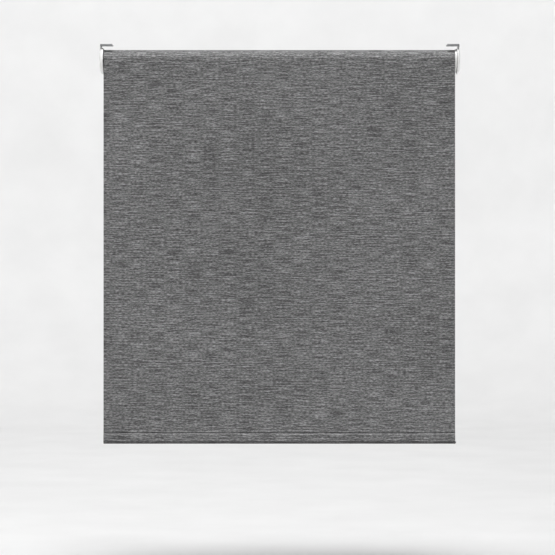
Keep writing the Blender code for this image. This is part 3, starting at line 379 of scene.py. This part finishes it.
def make_materials():
    """One material for each slot of the record."""
    along_x = (12, 2600, 2600)
    around = (1800, 260, 260)
    return {
        "dark_grey_cloth": make_cloth_material("melange_cloth", CLOTH_LEVEL),
        "white_gloss_plastic": make_gloss_plastic(),
        "zinc_plated_steel": make_zinc(),
        "plain_steel": make_metal("machined_steel", (0.55, 0.55, 0.56), 0.32, around),
        "aluminium": make_metal("extruded_aluminium", (0.72, 0.73, 0.74), 0.36, along_x),
        "natural_nylon": make_plastic("natural_nylon_moulding", (0.7, 0.68, 0.63), 0.45),
        "black_plastic": make_plastic("black_moulding", (0.03, 0.03, 0.032), 0.5),
        "grey_plastic": make_plastic("grey_moulding", (0.085, 0.085, 0.088), 0.5),
        "cell_sleeve": make_plastic("cell_sleeve_film", (0.05, 0.2, 0.32), 0.3, 0.01),
        "circuit_board": make_board(),
        "copper_winding": make_winding(),
        "nickel_magnet": make_metal("nickel_plate", (0.6, 0.58, 0.54), 0.22, (300, 300, 300)),
        "lamp_lens": make_plastic("frosted_lens", (0.7, 0.78, 0.74), 0.18, 0.01),
        "brass": make_metal("cut_brass", (0.72, 0.53, 0.24), 0.3, around),
    }


def finish_frame(materials):
    """Materials and eased edges on the model's own solids."""
    slots = {part["node"]: part["material_slot"] for part in frame["record"]["subparts"]}
    for name, item in frame["nodes"].items():
        item.data.materials.clear()
        item.data.materials.append(materials[slots[name]])
        item.data.shade_smooth()
        weld = item.modifiers.new("Weld", "WELD")
        weld.merge_threshold = WELD_DISTANCE
        bevel = item.modifiers.new("Eased", "BEVEL")
        bevel.width = EASED_EDGES.get(slots[name], EASED_EDGE)
        bevel.segments = EASED_SEGMENTS
        bevel.limit_method = "ANGLE"
        bevel.angle_limit = EASED_ANGLE
        item.modifiers.new("Flat faces", "WEIGHTED_NORMAL").keep_sharp = True


# Cloth


def add_sheet(name, profile, start, columns, material, wave=None):
    """A sheet that runs across the width and follows a line of (y, z) points down its length.

    start is where the first point lies along the cloth, which is how neighbouring sheets share one weave.
    """
    across = [CLOTH_LEFT + CLOTH_WIDTH * i / columns for i in range(columns + 1)]
    along = [start]
    for a, b in zip(profile, profile[1:]):
        along.append(along[-1] - math.dist(a, b))
    points = []
    for y, z in profile:
        points += [(x, y + (wave(x, z) if wave else 0.0), z) for x in across]
    faces = []
    row = columns + 1
    for r in range(len(profile) - 1):
        for c in range(columns):
            corner = r * row + c
            faces.append((corner, corner + row, corner + row + 1, corner + 1))
    mesh = bpy.data.meshes.new(name)
    mesh.from_pydata(points, [], faces)
    weave = mesh.uv_layers.new(name="weave")
    for loop in mesh.loops:
        r, c = divmod(loop.vertex_index, row)
        weave.data[loop.index].uv = (across[c], along[r])
    mesh.shade_smooth()
    mesh.materials.append(material)
    sheet = bpy.data.objects.new(name, mesh)
    bpy.context.scene.collection.objects.link(sheet)
    return sheet


def thicken(sheet):
    """Gives a sheet the thickness of the cloth, half to each side."""
    solid = sheet.modifiers.new("Thickness", "SOLIDIFY")
    solid.thickness = CLOTH_THICKNESS
    solid.offset = 0.0
    sheet.modifiers.new("Flat faces", "WEIGHTED_NORMAL")


def hang_wave(x, z):
    """How far the hanging cloth stands off its plane: nothing at the roll and the bar, a little between."""
    free = math.sin(math.pi * (DROP_HIGH.z - z) / (DROP_HIGH.z - DROP_LOW.z))
    swell = HANG_WAVE * noise.noise(Vector((WAVE_SCALE[0] * x, WAVE_SCALE[1] * z, WAVE_SLICE)))
    edge = min(x - CLOTH_LEFT, CLOTH_RIGHT - x)
    return max(0.0, free) * (swell + EDGE_CURL * math.exp(-edge / EDGE_REACH))


def add_wound_cloth(material):
    """The cloth still on the tube, as the spiral that it is wound in."""
    outer = ROLL_RADIUS - CLOTH_THICKNESS / 2
    steps = round(WRAPS * WRAP_STEPS)
    profile = []
    for i in range(steps, -1, -1):
        turn = FULL_TURN * WRAPS * i / steps
        radius = outer - WRAP_PITCH * turn / FULL_TURN
        profile.append((-radius * math.cos(turn), AXIS_HEIGHT + radius * math.sin(turn)))
    length = sum(math.dist(a, b) for a, b in zip(profile, profile[1:]))
    sheet = add_sheet("wound_cloth", profile, AXIS_HEIGHT + length, WOUND_COLUMNS, material)
    thicken(sheet)
    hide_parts("fabric_roll")
    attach(sheet, "roller")


def add_hanging_cloth(material):
    """The cloth that hangs from the front of the roll to just above the hem."""
    top = -(ROLL_RADIUS - CLOTH_THICKNESS / 2) - ROLL_CLEARANCE
    length = DROP_HIGH.z - HEM_START - SEAM_GAP
    profile = []
    for i in range(DROP_ROWS + 1):
        share = i / DROP_ROWS
        profile.append((top + (HEM_MIDDLE - top) * share, DROP_HIGH.z - length * share))
    sheet = add_sheet("hanging_cloth", profile, AXIS_HEIGHT, DROP_COLUMNS, material, hang_wave)
    thicken(sheet)
    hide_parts("fabric_drop")
    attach(sheet, "frame")
    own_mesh(sheet)


def darken_rows(sheet, material, low, high):
    """Gives the rows between two heights the darker cloth material."""
    if material.name not in sheet.data.materials:
        sheet.data.materials.append(material)
    for face in sheet.data.polygons:
        if low < face.center.z < high:
            face.material_index = 1


def add_hem(material, darker_cloth):
    """The pocket: a ridge and crease at the weld, a front with one dent, a round foot, a plain back."""
    foot_centre = HEM_BOTTOM + CLOTH_THICKNESS / 2 + HEM_FOOT_RADIUS
    profile = [(HEM_MIDDLE, HEM_START)]
    profile += [(HEM_MIDDLE - share * SEAM_RIDGE, CREASE + up * MM) for share, up in SEAM_PROFILE]
    profile += [(HEM_MIDDLE - out * MM, HEM_TOP - down * MM) for out, down in HEM_FRONT]
    for i in range(HEM_FOOT_STEPS + 1):
        turn = math.pi * i / HEM_FOOT_STEPS
        y = HEM_MIDDLE - HEM_FOOT_RADIUS * math.cos(turn)
        profile.append((y, foot_centre - HEM_FOOT_RADIUS * math.sin(turn)))
    profile += [(HEM_MIDDLE + out * MM, HEM_TOP - down * MM) for out, down in HEM_BACK]
    sheet = add_sheet("hem", profile, HEM_START, HEM_COLUMNS, material)
    # Painted shade along the weld crease, and darker cloth round the foot of the hem
    darken_rows(sheet, darker_cloth, CREASE - WELD_REACH, CREASE + WELD_REACH)
    darken_rows(sheet, darker_cloth, HEM_BOTTOM, HEM_BOTTOM + DARKENED_FOOT)
    thicken(sheet)
    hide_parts("hem_pocket")
    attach(sheet, "bottom_rail")


def add_spring(material):
    """The coil behind the idle pin."""
    sides, wire = SPRING_SIDES, SPRING_WIRE
    coil = (SPRING_HIGH.y - SPRING_LOW.y) / 2 - wire
    middle = Vector((0, (SPRING_HIGH.y + SPRING_LOW.y) / 2, AXIS_HEIGHT))
    steps = round(SPRING_TURNS * SPRING_STEPS)
    points = []
    for i in range(steps + 1):
        turn = FULL_TURN * SPRING_TURNS * i / steps
        x = SPRING_LOW.x + wire + (SPRING_HIGH.x - SPRING_LOW.x - 2 * wire) * i / steps
        outward = Vector((0, math.cos(turn), math.sin(turn)))
        for k in range(sides):
            round_wire = FULL_TURN * k / sides
            ring = outward * (coil + wire * math.cos(round_wire))
            points.append(middle + ring + Vector((x + wire * math.sin(round_wire), 0, 0)))
    faces = []
    for i in range(steps):
        for k in range(sides):
            a, b = i * sides + k, i * sides + (k + 1) % sides
            faces.append((a, b, b + sides, a + sides))
    faces.append(tuple(reversed(range(sides))))
    faces.append(tuple(range(steps * sides, (steps + 1) * sides)))
    mesh = bpy.data.meshes.new("spring_coil")
    mesh.from_pydata(points, [], faces)
    mesh.shade_smooth()
    mesh.materials.append(material)
    spring = bpy.data.objects.new("spring_coil", mesh)
    bpy.context.scene.collection.objects.link(spring)
    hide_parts("idle_spring")
    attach(spring, "roller")
    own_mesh(spring)


# Floor, light and camera


def add_stage():
    """A round pale floor that sweeps up into a wall, outside the camera of any view."""
    line = [(FLOOR_RADIUS - FLOOR_LIP, FLOOR_HEIGHT)]
    for i in range(SWEEP_STEPS + 1):
        turn = math.pi / 2 * i / SWEEP_STEPS
        out = FLOOR_RADIUS + SWEEP_RADIUS * math.sin(turn)
        line.append((out, FLOOR_HEIGHT + SWEEP_RADIUS * (1 - math.cos(turn))))
    line.append((FLOOR_RADIUS + SWEEP_RADIUS, WALL_TOP))
    points = []
    for out, z in line:
        for k in range(SPOKES):
            turn = FULL_TURN * k / SPOKES
            points.append((out * math.cos(turn), out * math.sin(turn), z))
    faces = [tuple(range(SPOKES))]
    for i in range(len(line) - 1):
        for k in range(SPOKES):
            a, b = i * SPOKES + k, i * SPOKES + (k + 1) % SPOKES
            faces.append((a, a + SPOKES, b + SPOKES, b))
    mesh = bpy.data.meshes.new("floor")
    mesh.from_pydata(points, [], faces)
    mesh.shade_smooth()
    darker, lighter = ((shade, shade, shade) for shade in PAPER_GREYS)
    paper = start_material("pale_paper", (PAPER_GREY, PAPER_GREY, PAPER_GREY), 0.8)
    fibres = grain(paper, (4, 4, 4), 3.0)
    set_shader(paper, "Base Color", ramp(paper, fibres, [(0.3, darker), (0.7, lighter)]))
    mesh.materials.append(paper)
    floor = bpy.data.objects.new("floor", mesh)
    bpy.context.scene.collection.objects.link(floor)


def add_area_light(name, place, target, size, power):
    """A rectangular light at a place, turned towards its target."""
    light = bpy.data.lights.new(name, "AREA")
    light.shape = "RECTANGLE"
    light.size, light.size_y = size
    light.energy = power
    lamp = bpy.data.objects.new(name, light)
    lamp.location = place
    lamp.rotation_mode = "QUATERNION"
    lamp.rotation_quaternion = (Vector(target) - Vector(place)).to_track_quat("-Z", "Y")
    bpy.context.scene.collection.objects.link(lamp)


def add_lights():
    """Three soft lights and a faint even glow."""
    for name, (place, target, size, power) in LIGHTS.items():
        add_area_light(name, place, target, size, power)
    world = bpy.data.worlds.new("studio")
    world.use_nodes = True
    background = world.node_tree.nodes["Background"]
    background.inputs["Color"].default_value = (1.0, 1.0, 1.0, 1.0)
    background.inputs["Strength"].default_value = WORLD_STRENGTH
    bpy.context.scene.world = world


def add_camera():
    """The photograph's view: square on, from in front of the cloth."""
    data = bpy.data.cameras.new("camera")
    data.sensor_width = SENSOR
    data.lens = SENSOR * CAMERA_DISTANCE / VIEW_WIDTH
    data.clip_end = CLIP_END
    camera = bpy.data.objects.new("camera", data)
    camera.location = (CAMERA_ACROSS, DROP_LOW.y - CAMERA_DISTANCE, CAMERA_HEIGHT)
    camera.rotation_euler = (math.pi / 2, 0, 0)
    bpy.context.scene.collection.objects.link(camera)
    bpy.context.scene.camera = camera


def main():
    bpy.context.scene.view_settings.view_transform = "Standard"
    materials = make_materials()
    add_camera()
    finish_frame(materials)
    cloth = materials["dark_grey_cloth"]
    add_wound_cloth(cloth)
    # A darker copy of the cloth: painted shade for the weld crease, and the darker foot of the hem
    darker_cloth = make_cloth_material("darkened_cloth", CLOTH_LEVEL * DARKENED_LEVEL)
    add_hem(cloth, darker_cloth)
    add_hanging_cloth(make_cloth_material("upright_melange_cloth", CLOTH_LEVEL, "Upright"))
    add_spring(materials["plain_steel"])
    add_stage()
    add_lights()


main()
